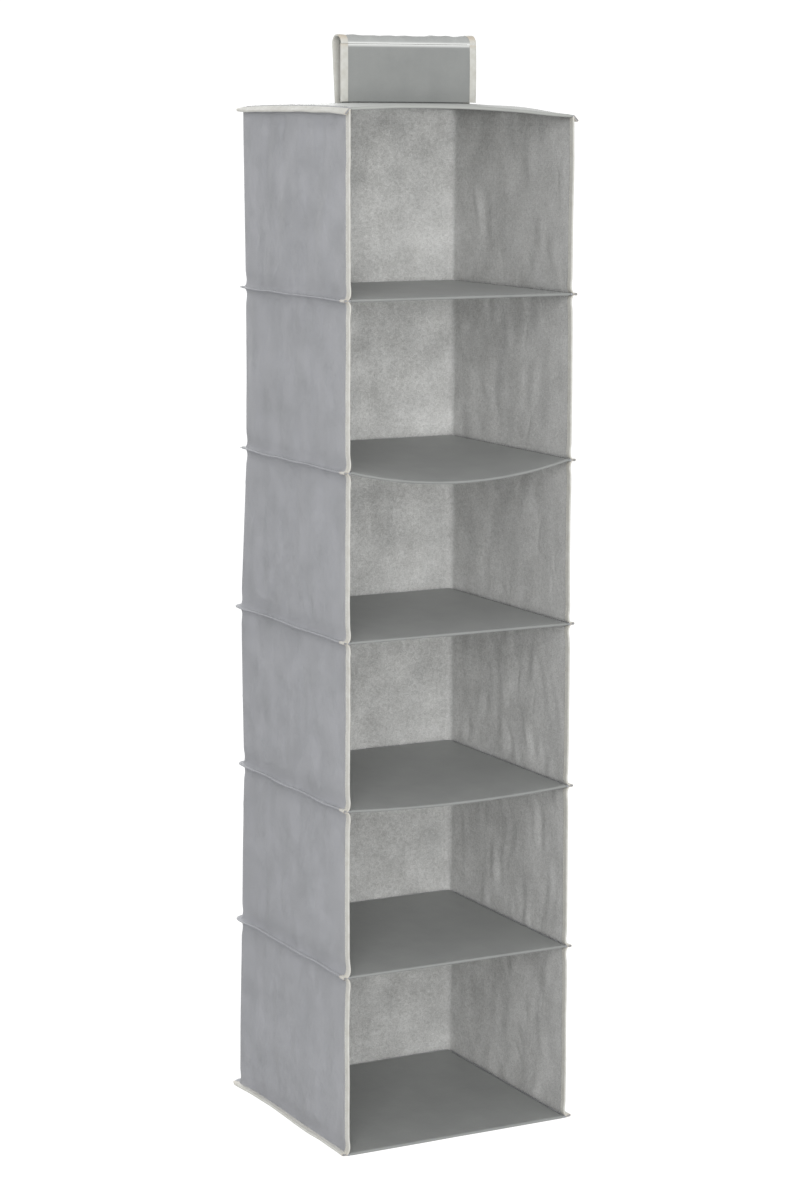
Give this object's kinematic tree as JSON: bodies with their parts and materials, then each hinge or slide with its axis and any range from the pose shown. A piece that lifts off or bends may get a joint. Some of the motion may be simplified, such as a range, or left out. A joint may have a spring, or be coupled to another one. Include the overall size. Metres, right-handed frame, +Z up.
{
  "type": "hanging shoe organizer",
  "caption": "Tall hanging shoe organizer of grey non-woven fabric: open-fronted compartments on stiff shelves, with a rod loop that opens at its flap",
  "frame": {"origin": "middle of the inner face of the rod loop's top, where the loop rests on a wardrobe rod", "axes": "+Z up, the open front of the compartments faces -Y, +X to the right of someone facing the front; the rod runs along X"},
  "size_m": [0.3084, 0.2995, 1.2892],
  "materials": {
    "wall_fabric": "matte",
    "panel_fabric": "matte",
    "binding_tape": "matte",
    "board": "matte",
    "closure_tape": "matte"
  },
  "bodies": {
    "top": {"top_cover": "panel_fabric", "top_board": "board", "top_binding_left": "binding_tape", "top_binding_right": "binding_tape", "loop_strap": "wall_fabric", "strap_binding_left": "binding_tape", "strap_binding_right": "binding_tape", "closure_riser": "wall_fabric", "loop_tape": "closure_tape", "fabric_wall_1": "wall_fabric", "front_binding_left_1": "binding_tape", "front_binding_right_1": "binding_tape"},
    "flap": {"loop_flap": "panel_fabric", "flap_stiffener": "board", "hook_tape": "closure_tape", "flap_binding_left": "binding_tape", "flap_binding_right": "binding_tape"},
    "shelf_1": {"shelf_cover_1": "panel_fabric", "shelf_board_1": "board", "tuck_tab_left_1": "binding_tape", "tuck_tab_right_1": "binding_tape", "fabric_wall_2": "wall_fabric", "front_binding_left_2": "binding_tape", "front_binding_right_2": "binding_tape"},
    "shelf_2": {"shelf_cover_2": "panel_fabric", "shelf_board_2": "board", "tuck_tab_left_2": "binding_tape", "tuck_tab_right_2": "binding_tape", "fabric_wall_3": "wall_fabric", "front_binding_left_3": "binding_tape", "front_binding_right_3": "binding_tape"},
    "shelf_3": {"shelf_cover_3": "panel_fabric", "shelf_board_3": "board", "tuck_tab_left_3": "binding_tape", "tuck_tab_right_3": "binding_tape", "fabric_wall_4": "wall_fabric", "front_binding_left_4": "binding_tape", "front_binding_right_4": "binding_tape"},
    "shelf_4": {"shelf_cover_4": "panel_fabric", "shelf_board_4": "board", "tuck_tab_left_4": "binding_tape", "tuck_tab_right_4": "binding_tape", "fabric_wall_5": "wall_fabric", "front_binding_left_5": "binding_tape", "front_binding_right_5": "binding_tape"},
    "shelf_5": {"shelf_cover_5": "panel_fabric", "shelf_board_5": "board", "tuck_tab_left_5": "binding_tape", "tuck_tab_right_5": "binding_tape", "fabric_wall_6": "wall_fabric", "front_binding_left_6": "binding_tape", "front_binding_right_6": "binding_tape"},
    "bottom": {"bottom_cover": "panel_fabric", "bottom_board": "board", "bottom_binding_left": "binding_tape", "bottom_binding_right": "binding_tape"}
  },
  "joints": [
    {"name": "loop_flap_hinge", "type": "hinge", "parent": "top", "child": "flap", "pos_m": [0, -0.013, -0.0093], "axis": [-1, 0, 0], "range_deg": [0, 150]},
    {"name": "cell_1_fold", "type": "slide", "parent": "top", "child": "shelf_1", "axis": [0, 0, 1], "range_m": [0, 0.18], "deforming": ["fabric_wall_1", "front_binding_left_1", "front_binding_right_1"]},
    {"name": "cell_2_fold", "type": "slide", "parent": "shelf_1", "child": "shelf_2", "axis": [0, 0, 1], "range_m": [0, 0.17], "deforming": ["fabric_wall_2", "front_binding_left_2", "front_binding_right_2"]},
    {"name": "cell_3_fold", "type": "slide", "parent": "shelf_2", "child": "shelf_3", "axis": [0, 0, 1], "range_m": [0, 0.17], "deforming": ["fabric_wall_3", "front_binding_left_3", "front_binding_right_3"]},
    {"name": "cell_4_fold", "type": "slide", "parent": "shelf_3", "child": "shelf_4", "axis": [0, 0, 1], "range_m": [0, 0.17], "deforming": ["fabric_wall_4", "front_binding_left_4", "front_binding_right_4"]},
    {"name": "cell_5_fold", "type": "slide", "parent": "shelf_4", "child": "shelf_5", "axis": [0, 0, 1], "range_m": [0, 0.17], "deforming": ["fabric_wall_5", "front_binding_left_5", "front_binding_right_5"]},
    {"name": "cell_6_fold", "type": "slide", "parent": "shelf_5", "child": "bottom", "axis": [0, 0, 1], "range_m": [0, 0.18], "deforming": ["fabric_wall_6", "front_binding_left_6", "front_binding_right_6"]}
  ]
}
